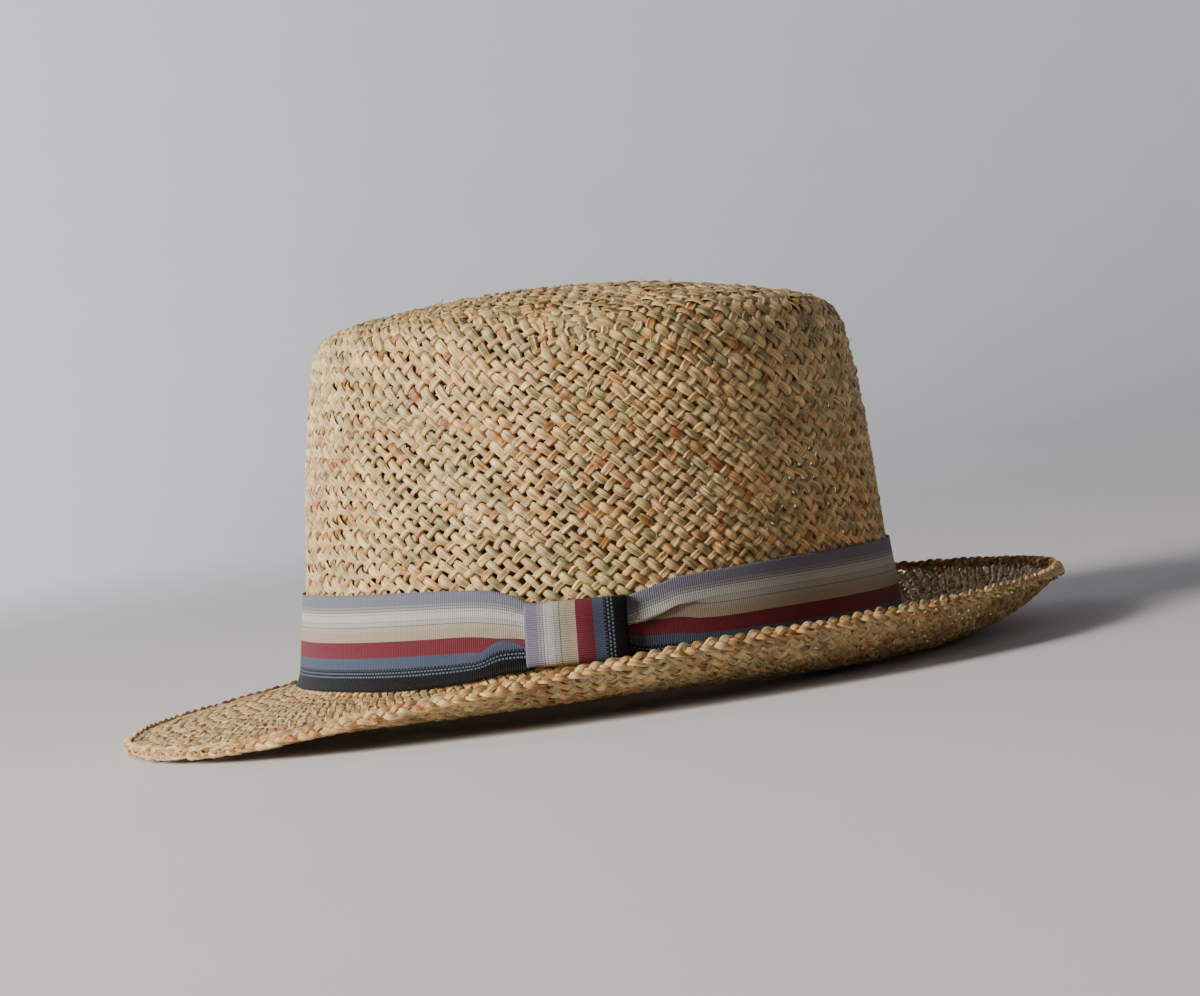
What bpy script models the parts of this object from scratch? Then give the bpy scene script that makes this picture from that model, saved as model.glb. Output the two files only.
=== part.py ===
"""Seagrass hat: a hood woven in one piece, its plaited edge, and a striped ribbon drawn through a flat knot.

Metres, +Z up. The front of the brim is towards -Y and the knot is on +X, over the wearer's left ear.
The hat rests on its brim on the plane Z = 0, with the middle of its plan at the origin.

Until it is set down, the hat is worked out about its own crown: Z = 0 is where the wall meets the brim,
and an angle runs round the head from the front, through the knot's side, to the back and on.
"""

import math

import bmesh
import bpy
import numpy as np
from mathutils import Matrix

# The hood of woven straw, outside sizes
STRAW = 0.0024
CROWN_LENGTH = 0.2205
CROWN_WIDTH = 0.184
CROWN_HEIGHT = 0.133
CROWN_RAKE = 0.002
TOP_TILT = 0.0022
BRIM_WIDTH = 0.057
BRIM_LEAD_SHARE = 0.04

# The plaited edge
EDGE_DIAMETER = 0.0038

# The ribbon and its knot
CLEARANCE = 0.0003
RIBBON_WIDTH = 0.032
RIBBON_THICKNESS = 0.0009
RIBBON_FOOT = 0.0014
KNOT_ANGLE = 85.3
KNOT_MIDDLE = 0.0163
KNOT_WIDTH = 0.0305
KNOT_HEIGHT = 0.0232
KNOT_DEPTH = 0.0050
KNOT_WALL = 0.0012
KNOT_BOXINESS = 0.62
KNOT_ROUNDING = 0.16
KNOT_STEPS = 8
KNOT_ROWS = 12
GATHER_BULGE = 0.0014

# The shallow pinch on each side of the front of the crown
PINCH_ANGLE = 56.0
PINCH_HEIGHT = 0.088
PINCH_RADIUS = 0.021
PINCH_DEPTH = 0.0022

# How finely the surfaces are divided
STEPS_AROUND = 64
BRIM_RINGS = 9
RIBBON_ROWS = 5
STEPS_BY_KNOT = 4

# The crown from the brim's root to its top: share of the half length and half width, share of the height.
CROWN_PROFILE = (
    # reach, height
    (1.000, 0.000),
    (0.984, 0.012),
    (0.972, 0.035),
    (0.963, 0.080),
    (0.952, 0.160),
    (0.941, 0.240),
    (0.926, 0.390),
    (0.910, 0.540),
    (0.898, 0.630),
    (0.884, 0.715),
    (0.864, 0.812),
    (0.848, 0.862),
    (0.818, 0.898),
    (0.755, 0.924),
    (0.640, 0.947),
    (0.450, 0.972),
    (0.240, 0.992),
    (0.000, 1.000),
)
CROWN_RINGS = len(CROWN_PROFILE) - 1

# The brim round one side of the head: how steeply it rises at its root, halfway out and at its edge, in degrees.
BRIM_SLOPES = (
    # angle, root, middle, edge
    (0, -9, -12, -14),
    (45, -7, -8, 0),
    (68, -5, -2, 26),
    (86, -5, 4, 38),
    (100, -6, 9, 42),
    (131, -10, 13, 54),
    (180, -1, 19, 38),
)

# The ribbon beside its knot: how far its foot and its head close in, ahead of the knot and behind it, as shares
# of the ribbon's width, against the distance beyond the knot's side, as a share of that width too.
RIBBON_GATHER = (
    # distance, foot ahead, head ahead, foot behind, head behind
    (-0.06, 0.200, 0.270, 0.200, 0.270),
    (0.06, 0.150, 0.140, 0.150, 0.215),
    (0.14, 0.125, 0.120, 0.085, 0.195),
    (0.30, 0.100, 0.055, 0.040, 0.155),
    (0.65, 0.050, 0.012, 0.020, 0.080),
    (1.20, 0.000, 0.000, 0.005, 0.045),
    (1.60, 0.000, 0.000, 0.000, 0.030),
    (3.00, 0.000, 0.000, 0.000, 0.000),
)


def smooth(knots, values, at):
    """A cubic curve through the rows of a table: its slope at each row is that of the rows beside it."""
    knots = np.asarray(knots, float)
    values = np.asarray(values, float)
    slopes = np.gradient(values, knots)
    at = np.clip(at, knots[0], knots[-1])
    row = np.clip(np.searchsorted(knots, at, side="right") - 1, 0, len(knots) - 2)
    span = knots[row + 1] - knots[row]
    t = (at - knots[row]) / span
    return (
        values[row] * (2 * t**3 - 3 * t**2 + 1)
        + values[row + 1] * (3 * t**2 - 2 * t**3)
        + slopes[row] * span * (t**3 - 2 * t**2 + t)
        + slopes[row + 1] * span * (t**3 - t**2)
    )


def outward(angle):
    """The level direction square to the crown's oval at an angle round the head."""
    across = CROWN_LENGTH * np.sin(angle)
    along = -CROWN_WIDTH * np.cos(angle)
    size = np.hypot(across, along)
    return np.stack([across / size, along / size, np.zeros_like(size)], axis=-1)


def crown(angle, reach, height):
    """A point of the hood's outside: an oval scaled by its reach, raked back with height, tilted at the top."""
    top = np.clip((height - 0.6) / 0.3, 0, 1)
    tilt = TOP_TILT * np.cos(angle) * reach * top**2 * (3 - 2 * top)
    point = np.stack(
        [
            CROWN_WIDTH / 2 * reach * np.sin(angle),
            CROWN_RAKE * height - CROWN_LENGTH / 2 * reach * np.cos(angle),
            CROWN_HEIGHT * height + tilt,
        ],
        axis=-1,
    )
    return point - outward(angle) * pinch(point)[..., None]


def pinch(point):
    """How deep the two pinches beside the front push the wall in at a point, measured on one half of the crown."""
    centre = crown_wall_plain(math.radians(PINCH_ANGLE), PINCH_HEIGHT)
    folded = np.stack([np.abs(point[..., 0]), point[..., 1], point[..., 2]], axis=-1)
    return PINCH_DEPTH * np.exp(-((folded - centre) ** 2).sum(axis=-1) / PINCH_RADIUS**2)


def crown_wall_plain(angle, height):
    """The wall at a height above the brim's root, without its pinches."""
    reach = wall_reach(height)
    return np.stack(
        [
            CROWN_WIDTH / 2 * reach * np.sin(angle),
            CROWN_RAKE * height / CROWN_HEIGHT - CROWN_LENGTH / 2 * reach * np.cos(angle),
            height + np.zeros_like(angle),
        ],
        axis=-1,
    )


def wall_reach(height):
    """The reach of the wall at a height above the brim's root."""
    rows = np.array([row for row in CROWN_PROFILE if row[1] < 0.9])
    return smooth(rows[:, 1], rows[:, 0], np.asarray(height) / CROWN_HEIGHT)


def crown_profile(row):
    """Reach and height of the crown at a row of its profile, or between two rows."""
    table = np.array(CROWN_PROFILE)
    return (smooth(np.arange(len(table)), table[:, column], row) for column in (0, 1))


def brim(angle, share):
    """A point of the brim's upper face, a share of its width out from the root, along a slope that changes as it goes."""
    table = np.array(BRIM_SLOPES, float)
    turned = np.degrees(np.arccos(np.cos(angle)))
    root, middle, edge = (np.radians(smooth(table[:, 0], table[:, column], turned)) for column in (1, 2, 3))
    steps = (np.arange(24) + 0.5) / 24
    walked = share[..., None] * steps
    curve = 2 * (root + edge) - 4 * middle
    slope = root[..., None] + (edge - root - curve)[..., None] * walked + curve[..., None] * walked**2
    width = BRIM_WIDTH * (1 + BRIM_LEAD_SHARE * np.cos(angle)) * share
    out = width * np.cos(slope).mean(axis=-1)
    up = width * np.sin(slope).mean(axis=-1)
    point = crown(angle, np.ones_like(angle), np.zeros_like(angle)) + outward(angle) * out[..., None]
    point[..., 2] += up
    return point


def hood(around, across):
    """The upper face of the brim from its edge to its root, then the outside of the crown to its top."""
    angle = 2 * math.pi * around
    rings = across * (BRIM_RINGS + CROWN_RINGS)
    on_brim = brim(angle, np.clip(1 - rings / BRIM_RINGS, 0, 1))
    reach, height = crown_profile(np.clip(rings - BRIM_RINGS, 0, CROWN_RINGS))
    on_crown = crown(angle, reach, height)
    return np.where((rings < BRIM_RINGS)[..., None], on_brim, on_crown)


def beyond_knot(angle):
    """How far an angle lies beyond the nearer side of the knot, as a share of the ribbon's width, and whether ahead."""
    turn = np.angle(np.exp(1j * (angle - math.radians(KNOT_ANGLE))))
    way = np.abs(turn) * CROWN_LENGTH / 2 * wall_reach(RIBBON_WIDTH / 2)
    return (way - KNOT_WIDTH / 2) / RIBBON_WIDTH, turn < 0


def gather(angle):
    """How far the ribbon's foot and head close in at an angle, as shares of its width."""
    distance, ahead = beyond_knot(angle)
    table = np.array(RIBBON_GATHER)
    foot, head, foot_behind, head_behind = (smooth(table[:, 0], table[:, column], distance) for column in range(1, 5))
    return np.where(ahead, foot, foot_behind), np.where(ahead, head, head_behind)


def ribbon(around, across):
    """The outer face of the ribbon from its foot to its head, closing in and standing out by the knot."""
    angle = ribbon_angle(around)
    foot, head = gather(angle)
    height = RIBBON_FOOT + RIBBON_WIDTH * (foot + (1 - foot - head) * across)
    bulge = GATHER_BULGE * (head / RIBBON_GATHER[0][2]) * np.sqrt(np.clip(np.sin(math.pi * across), 0, 1))
    stand = CLEARANCE + RIBBON_THICKNESS + bulge
    return crown_wall_plain(angle, height) + outward(angle) * stand[..., None]


def ribbon_steps():
    """The ribbon's angles: the hood's own steps round the head, each cut finer beside the knot."""
    steps = np.linspace(0, 2 * math.pi, STEPS_AROUND + 1)
    distance, _ = beyond_knot((steps[:-1] + steps[1:]) / 2)
    cuts = np.where(distance < RIBBON_GATHER[-3][0], STEPS_BY_KNOT, 1)
    parts = [np.linspace(a, b, n, endpoint=False) for a, b, n in zip(steps, steps[1:], cuts)]
    return np.append(np.concatenate(parts), 2 * math.pi)


def ribbon_angle(around):
    """The angle at a share of the ribbon's steps."""
    angles = ribbon_steps()
    return np.interp(around, np.linspace(0, 1, len(angles)), angles)


def knot(across, around):
    """The outer face of the knot: ribbon bent over the gathered one, from the wall below it to the wall above."""
    turn = math.pi * (around - 0.5)
    height = KNOT_MIDDLE + KNOT_HEIGHT / 2 * np.sign(turn) * np.abs(np.sin(turn)) ** KNOT_BOXINESS
    side = 2 * across - 1
    depth = KNOT_DEPTH * (1 - KNOT_ROUNDING * side**4)
    stand = CLEARANCE + KNOT_WALL * np.abs(np.sin(turn)) + depth * np.clip(np.cos(turn), 0, 1) ** KNOT_BOXINESS
    angle = math.radians(KNOT_ANGLE) + KNOT_WIDTH / 2 * side / (CROWN_LENGTH / 2 * wall_reach(KNOT_MIDDLE))
    return crown_wall_plain(angle, height) + outward(angle) * stand[..., None]


def sheet(name, surface, steps, rings, thickness, material, collection):
    """An object from a flat grid laid on a surface of two shares, with its wall made inwards by Solidify."""
    grid = bmesh.new()
    bmesh.ops.create_grid(grid, x_segments=steps, y_segments=rings, size=0.5)
    flat = np.array([vertex.co for vertex in grid.verts]) + 0.5
    for vertex, point in zip(grid.verts, surface(flat[:, 0], flat[:, 1])):
        vertex.co = point
    bmesh.ops.remove_doubles(grid, verts=grid.verts, dist=1e-6)
    mesh = bpy.data.meshes.new(name)
    grid.to_mesh(mesh)
    grid.free()
    piece = bpy.data.objects.new(name, mesh)
    collection.objects.link(piece)
    mesh.materials.append(material)
    wall = piece.modifiers.new("Wall", "SOLIDIFY")
    wall.thickness = thickness
    wall.offset = -1
    wall.use_even_offset = True
    return piece


def edge_tube(name, material, collection):
    """The plaited edge as a round tube that closes on itself, just outside the brim's cut edge."""
    angle = np.linspace(0, 2 * math.pi, STEPS_AROUND, endpoint=False)
    rim = brim(angle, np.ones_like(angle))
    inside = brim(angle, np.full_like(angle, 0.96))
    slope = rim - inside
    slope /= np.linalg.norm(slope, axis=1, keepdims=True)
    side = np.stack([-outward(angle)[:, 1], outward(angle)[:, 0], np.zeros_like(angle)], axis=-1)
    normal = np.cross(slope, side)
    centres = rim + slope * (CLEARANCE + EDGE_DIAMETER / 2) - normal * STRAW / 2
    curve = bpy.data.curves.new(name, "CURVE")
    curve.dimensions = "3D"
    curve.bevel_depth = EDGE_DIAMETER / 2
    curve.bevel_resolution = 2
    spline = curve.splines.new("POLY")
    spline.points.add(len(centres) - 1)
    for point, centre in zip(spline.points, centres):
        point.co = (*centre, 1)
    spline.use_cyclic_u = True
    curve.materials.append(material)
    tube = bpy.data.objects.new(name, curve)
    collection.objects.link(tube)
    return tube


def finish(name, colour, roughness):
    """A plain Principled material."""
    material = bpy.data.materials.new(name)
    material.use_nodes = True
    shader = material.node_tree.nodes["Principled BSDF"]
    shader.inputs["Base Color"].default_value = (*colour, 1)
    shader.inputs["Roughness"].default_value = roughness
    material.diffuse_color = (*colour, 1)
    return material


def points_of(pieces):
    """All the points of the finished pieces, as the viewport evaluates them."""
    graph = bpy.context.evaluated_depsgraph_get()
    found = []
    for piece in pieces:
        evaluated = piece.evaluated_get(graph)
        mesh = evaluated.to_mesh()
        points = np.empty(len(mesh.vertices) * 3)
        mesh.vertices.foreach_get("co", points)
        found.append(points.reshape(-1, 3))
        evaluated.to_mesh_clear()
    return np.concatenate(found)


def set_down(pieces):
    """Leans the hat back until the front and the back of its brim are equally low, then stands it at the origin."""
    points = points_of(pieces)
    low, high = 0.0, math.radians(15)
    for _ in range(40):
        lean = (low + high) / 2
        heights = points[:, 2] * math.cos(lean) - points[:, 1] * math.sin(lean)
        if heights[points[:, 1] < 0].min() < heights[points[:, 1] > 0].min():
            low = lean
        else:
            high = lean
    turn = Matrix.Rotation(-lean, 4, "X")
    turned = points @ np.array(turn.to_3x3()).T
    middle = (turned.min(axis=0) + turned.max(axis=0)) / 2
    shift = Matrix.Translation((-middle[0], -middle[1], -turned[:, 2].min()))
    for piece in pieces:
        piece.data.transform(shift @ turn)


def build():
    for old in list(bpy.data.objects):
        bpy.data.objects.remove(old)
    hat = bpy.data.collections.new("seagrass_hat")
    bpy.context.scene.collection.children.link(hat)
    straw = finish("woven seagrass", (0.52, 0.42, 0.25), 0.6)
    plait = finish("plaited seagrass", (0.45, 0.35, 0.19), 0.6)
    cloth = finish("striped ribbon", (0.30, 0.27, 0.26), 0.85)
    bow = finish("striped ribbon on the knot", (0.33, 0.20, 0.19), 0.85)
    pieces = [
        sheet("woven_hood", hood, STEPS_AROUND, BRIM_RINGS + CROWN_RINGS, STRAW, straw, hat),
        edge_tube("plaited_edge", plait, hat),
        sheet("ribbon_band", ribbon, len(ribbon_steps()) - 1, RIBBON_ROWS, RIBBON_THICKNESS, cloth, hat),
        sheet("ribbon_knot", knot, KNOT_STEPS, KNOT_ROWS, KNOT_WALL, bow, hat),
    ]
    set_down(pieces)


build()
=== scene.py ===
"""Seagrass hat, dressed: bare straw strands woven over and under each other, a plaited edge, and a striped
ribbon that is tucked where it goes through its knot.

Metres, +Z up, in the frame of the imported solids: the front of the brim is towards -Y and the knot is on +X.
Until it is set down, the hat is worked out about its own crown: Z = 0 is where the wall meets the brim,
and an angle runs round the crown from the front, through the knot's side, to the back and on.
"""

import math

import bpy
import numpy as np
from mathutils import Matrix, Vector


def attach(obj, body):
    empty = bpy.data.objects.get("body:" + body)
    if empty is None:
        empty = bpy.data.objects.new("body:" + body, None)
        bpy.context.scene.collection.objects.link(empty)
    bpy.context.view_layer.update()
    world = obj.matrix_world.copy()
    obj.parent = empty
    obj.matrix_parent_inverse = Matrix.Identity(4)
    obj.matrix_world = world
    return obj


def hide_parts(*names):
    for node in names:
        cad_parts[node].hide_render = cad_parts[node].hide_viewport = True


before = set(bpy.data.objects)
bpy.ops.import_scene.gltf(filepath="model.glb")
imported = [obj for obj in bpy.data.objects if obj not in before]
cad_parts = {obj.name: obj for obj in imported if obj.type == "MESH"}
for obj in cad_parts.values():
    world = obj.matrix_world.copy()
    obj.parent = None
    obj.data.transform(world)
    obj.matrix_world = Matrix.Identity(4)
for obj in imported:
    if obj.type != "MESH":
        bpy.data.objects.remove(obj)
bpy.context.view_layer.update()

MM = 0.001
CHANCE = np.random.default_rng(11)

# The hood and its ribbon, as the solids have them
STRAW = 0.0024
CROWN_LENGTH = 0.2205
CROWN_WIDTH = 0.184
CROWN_HEIGHT = 0.133
CROWN_RAKE = 0.002
TOP_TILT = 0.0022
BRIM_WIDTH = 0.057
BRIM_LEAD_SHARE = 0.04
EDGE_DIAMETER = 0.0038
CLEARANCE = 0.0003
RIBBON_WIDTH = 0.032
RIBBON_THICKNESS = 0.0009
KNOT_ANGLE = 85.3
KNOT_MIDDLE = 0.0163
KNOT_WIDTH = 0.0305
KNOT_HEIGHT = 0.0232
KNOT_DEPTH = 0.0050
KNOT_WALL = 0.0012
KNOT_BOXINESS = 0.62
KNOT_ROUNDING = 0.16
PINCH_ANGLE = 56.0
PINCH_HEIGHT = 0.088
PINCH_RADIUS = 0.021
PINCH_DEPTH = 0.0022
LEAN = 0.045534
SHIFT = (0.0, 0.0032037, 0.0079887)

# The crown from the brim's root to its top: share of the half length and half width, share of the height.
CROWN_PROFILE = (
    # reach, height
    (1.000, 0.000),
    (0.984, 0.012),
    (0.972, 0.035),
    (0.963, 0.080),
    (0.952, 0.160),
    (0.941, 0.240),
    (0.926, 0.390),
    (0.910, 0.540),
    (0.898, 0.630),
    (0.884, 0.715),
    (0.864, 0.812),
    (0.848, 0.862),
    (0.818, 0.898),
    (0.755, 0.924),
    (0.640, 0.947),
    (0.450, 0.972),
    (0.240, 0.992),
    (0.000, 1.000),
)

# The brim round one side of the crown: how steeply it rises at its root, halfway out and at its edge, in degrees.
BRIM_SLOPES = (
    # angle, root, middle, edge
    (0, -9, -12, -14),
    (45, -7, -8, 0),
    (68, -5, -2, 26),
    (86, -5, 4, 38),
    (100, -6, 9, 42),
    (131, -10, 13, 54),
    (180, -1, 19, 38),
)

# The ribbon by its knot, in millimetres: the heights of its foot, of its tuck's fold and of its head, how far the
# tuck is folded under, how far it stands out, and where on the cloth's width the panels below and above meet it.
RIBBON_AHEAD = (
    # distance, foot, fold, head, under, stand, cloth below, cloth above
    (-5.0, 7.2, 15.4, 24.8, 2.6, 0.3, 10.2, 15.8),
    (0.0, 5.2, 15.4, 27.1, 2.8, 0.6, 10.2, 15.4),
    (5.0, 4.8, 15.7, 29.6, 2.6, 0.8, 10.2, 15.2),
    (11.0, 4.4, 15.4, 31.6, 2.2, 0.8, 10.2, 14.7),
    (13.5, 4.0, 14.3, 32.1, 1.6, 0.7, 10.2, 13.3),
    (16.0, 3.6, 12.8, 32.4, 0.9, 0.45, 10.2, 11.4),
    (19.0, 3.1, 12.1, 32.6, 0.3, 0.2, 10.2, 10.5),
    (24.0, 2.5, 11.9, 32.9, 0.0, 0.0, 10.2, 10.2),
    (40.0, 1.6, 11.7, 33.3, 0.0, 0.0, 10.2, 10.2),
    (80.0, 1.4, 11.6, 33.4, 0.0, 0.0, 10.2, 10.2),
    (130.0, 1.4, 11.6, 33.4, 0.0, 0.0, 10.2, 10.2),
    (240.0, 1.4, 17.4, 33.4, 0.0, 0.0, 16.0, 16.0),
)
RIBBON_BEHIND = (
    # distance, foot, fold, head, under, stand, cloth below, cloth above
    (-5.0, 7.2, 16.4, 24.8, 2.6, 0.3, 15.3, 23.4),
    (0.0, 5.8, 17.0, 26.1, 3.0, 0.6, 15.3, 23.0),
    (4.0, 3.8, 17.2, 27.0, 3.0, 0.8, 15.5, 22.2),
    (7.0, 3.0, 17.5, 27.8, 2.8, 0.8, 15.8, 21.6),
    (12.0, 2.6, 19.0, 28.9, 2.2, 0.7, 17.3, 21.7),
    (18.5, 2.3, 21.3, 30.8, 1.4, 0.5, 19.6, 22.2),
    (25.0, 2.0, 21.5, 31.3, 0.3, 0.15, 20.9, 21.8),
    (32.0, 1.8, 21.6, 31.7, 0.0, 0.0, 21.3, 21.3),
    (50.0, 1.5, 22.2, 32.5, 0.0, 0.0, 21.3, 21.3),
    (95.0, 1.4, 22.7, 33.4, 0.0, 0.0, 21.3, 21.3),
    (130.0, 1.4, 22.7, 33.4, 0.0, 0.0, 21.3, 21.3),
    (240.0, 1.4, 17.4, 33.4, 0.0, 0.0, 16.0, 16.0),
)

# The knot as cloth, a little higher, wider and flatter than its solid
KNOT_RISE = 0.0002
KNOT_HALF_WIDTH = 0.54 * KNOT_WIDTH
KNOT_HALF_HEIGHT = 0.45 * KNOT_HEIGHT

# The weave: strands each way from the middle of the top, the way from there down to the side, and rows of
# crossings down the side and across the brim
TOP_STRANDS = 25
ROUND_CROWN = 4 * TOP_STRANDS
TOP_WAY = 0.083
SIDE_ROWS = 42
ROUND_BRIM = 194
BRIM_ROWS = 32

# Under the ribbon the crown's weave ends and the brim's begins this far from the root, and at the edge a margin is left
CROWN_WEAVE_END = 0.0144
BRIM_WEAVE_START = 0.0128
BRIM_MARGIN = 0.0006

# Crossings of the top and of the side's first rows settle in turns until they lie one step apart
CROSSING_STEP = 0.0041
SETTLING_TURNS = 150
SETTLED_ROWS = 9.5

# The side where strands lie closer, in degrees, the length of the weave's slow sway, and the least and most room
# that a strand fills
CLOSE_ANGLE = 96
SWAY_LENGTH = 0.055
ROOM_LIMITS = (0.0026, 0.0046)

# A strand's thickness, and how far it is raised over another or lowered under it
STRAND_THICKNESS = 0.00108
WEAVE_STEP = 0.0006

STRAY_FIBRES = 110
PLAIT_TURNS = 72
FLOOR_LEVEL = -0.0005

# A straw's section: shares of its width and thickness, with the crown of its outer face third
SPLIT_STRAW = ((0.5, -0.08), (0.31, 0.5), (0.0, 0.5), (-0.31, 0.5), (-0.5, -0.08), (0.0, -0.5))
FLAT_STRAW = ((0.5, -0.05), (0.31, 0.5), (0.0, 0.5), (-0.31, 0.5), (-0.5, -0.05), (-0.3, -0.5), (0.3, -0.5))

# Where strands have moved apart and opened a hole: degrees round the crown, height up its profile, push
OPENINGS = (
    # angle, height, push
    (60, 0.101, 0.0021),
    (63, 0.094, 0.0014),
    (52, 0.083, 0.0012),
    (303, 0.090, 0.0013),
)
OPENING_RADIUS = 0.0042


def smooth(knots, values, at):
    """A cubic curve through the rows of a table: its slope at each row is that of the rows beside it."""
    knots = np.asarray(knots, float)
    values = np.asarray(values, float)
    slopes = np.gradient(values, knots)
    at = np.clip(at, knots[0], knots[-1])
    row = np.clip(np.searchsorted(knots, at, side="right") - 1, 0, len(knots) - 2)
    span = knots[row + 1] - knots[row]
    t = (at - knots[row]) / span
    return (
        values[row] * (2 * t**3 - 3 * t**2 + 1)
        + values[row + 1] * (3 * t**2 - 2 * t**3)
        + slopes[row] * span * (t**3 - 2 * t**2 + t)
        + slopes[row + 1] * span * (t**3 - t**2)
    )


def unit(vectors):
    """The vectors at length one."""
    return vectors / np.maximum(np.linalg.norm(vectors, axis=-1, keepdims=True), 1e-12)


def outward(angle):
    """The level direction square to the crown's oval at an angle round the crown."""
    across = CROWN_LENGTH * np.sin(angle)
    along = -CROWN_WIDTH * np.cos(angle)
    return unit(np.stack([across, along, np.zeros_like(across)], axis=-1))


def crown(angle, reach, height):
    """A point of the hood's outside: an oval scaled by its reach, raked back with height, tilted at the top and
    pinched beside the front."""
    top = np.clip((height - 0.6) / 0.3, 0, 1)
    tilt = TOP_TILT * np.cos(angle) * reach * top**2 * (3 - 2 * top)
    point = np.stack(
        [
            CROWN_WIDTH / 2 * reach * np.sin(angle),
            CROWN_RAKE * height - CROWN_LENGTH / 2 * reach * np.cos(angle),
            CROWN_HEIGHT * height + tilt,
        ],
        axis=-1,
    )
    return point - outward(angle) * pinch(point)[..., None]


def pinch(point):
    """How deep the two pinches beside the front push the wall in at a point, measured on one half of the crown."""
    centre = crown_wall(math.radians(PINCH_ANGLE), PINCH_HEIGHT)
    folded = np.stack([np.abs(point[..., 0]), point[..., 1], point[..., 2]], axis=-1)
    return PINCH_DEPTH * np.exp(-((folded - centre) ** 2).sum(axis=-1) / PINCH_RADIUS**2)


def wall_reach(height):
    """The reach of the wall at a height above the brim's root."""
    rows = np.array([row for row in CROWN_PROFILE if row[1] < 0.9])
    return smooth(rows[:, 1], rows[:, 0], np.asarray(height) / CROWN_HEIGHT)


def crown_wall(angle, height):
    """The wall at a height above the brim's root, without its pinches."""
    reach = wall_reach(height)
    return np.stack(
        [
            CROWN_WIDTH / 2 * reach * np.sin(angle),
            CROWN_RAKE * height / CROWN_HEIGHT - CROWN_LENGTH / 2 * reach * np.cos(angle),
            height + np.zeros_like(angle),
        ],
        axis=-1,
    )


def crown_at(angle, row):
    """The crown at a row of its profile, or between two rows."""
    table = np.array(CROWN_PROFILE)
    reach, height = (smooth(np.arange(len(table)), table[:, column], row) for column in (0, 1))
    return crown(angle, reach, height)


def brim(angle, share):
    """A point of the brim's upper face, a share of its width out from the root, along a slope that changes on the
    way."""
    table = np.array(BRIM_SLOPES, float)
    turned = np.degrees(np.arccos(np.cos(angle)))
    root, middle, edge = (np.radians(smooth(table[:, 0], table[:, column], turned)) for column in (1, 2, 3))
    steps = (np.arange(24) + 0.5) / 24
    walked = share[..., None] * steps
    curve = 2 * (root + edge) - 4 * middle
    slope = root[..., None] + (edge - root - curve)[..., None] * walked + curve[..., None] * walked**2
    width = BRIM_WIDTH * (1 + BRIM_LEAD_SHARE * np.cos(angle)) * share
    out = width * np.cos(slope).mean(axis=-1)
    up = width * np.sin(slope).mean(axis=-1)
    point = crown(angle, np.ones_like(angle), np.zeros_like(angle)) + outward(angle) * out[..., None]
    point[..., 2] += up
    return point


def walked_rows():
    """The crown's profile rows from its top down to the brim's root, and the mean way walked to each of them."""
    rows = np.linspace(len(CROWN_PROFILE) - 1, 0, 500)
    angle = np.linspace(0, 2 * math.pi, 48, endpoint=False)
    points = crown_at(angle[None, :], rows[:, None])
    lengths = np.linalg.norm(np.diff(points, axis=0), axis=-1).mean(axis=1)
    return rows, np.append(0, np.cumsum(lengths))


PROFILE_ROWS, PROFILE_WAYS = walked_rows()
ROOT_WAY = PROFILE_WAYS[-1]
SIDE_STEP = (ROOT_WAY - CROWN_WEAVE_END - TOP_WAY) / SIDE_ROWS


def face(spot):
    """The hood's outside at a spot of a flat disc: the spot's distance from the disc's middle is the way walked down
    from the top's middle, and its direction is the angle round the crown. Past the root the way goes on over the
    brim."""
    angle = np.arctan2(spot[..., 0], -spot[..., 1])
    way = np.hypot(spot[..., 0], spot[..., 1])
    on_crown = crown_at(angle, np.interp(way, PROFILE_WAYS, PROFILE_ROWS))
    on_brim = brim(angle, np.clip((way - ROOT_WAY) / BRIM_WIDTH, 0, 1.1))
    return np.where((way < ROOT_WAY)[..., None], on_crown, on_brim)


def face_normal(spot, step=0.0006):
    """Square to the hood's outside at a spot: the cross product of its slopes along the disc's two directions."""
    across, along = np.array([step, 0.0]), np.array([0.0, step])
    return unit(np.cross(face(spot + across) - face(spot - across), face(spot + along) - face(spot - along)))


def spot_at(angle, way):
    """The spot of the flat disc at an angle and a way from its middle."""
    return np.stack([way * np.sin(angle), -way * np.cos(angle)], axis=-1)


def set_down(points):
    """Points of the upright hat, leaned back and stood on the floor as the solids are."""
    y, z = points[..., 1], points[..., 2]
    cosine, sine = math.cos(LEAN), math.sin(LEAN)
    return np.stack([points[..., 0], y * cosine + z * sine, z * cosine - y * sine], axis=-1) + np.array(SHIFT)


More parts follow.
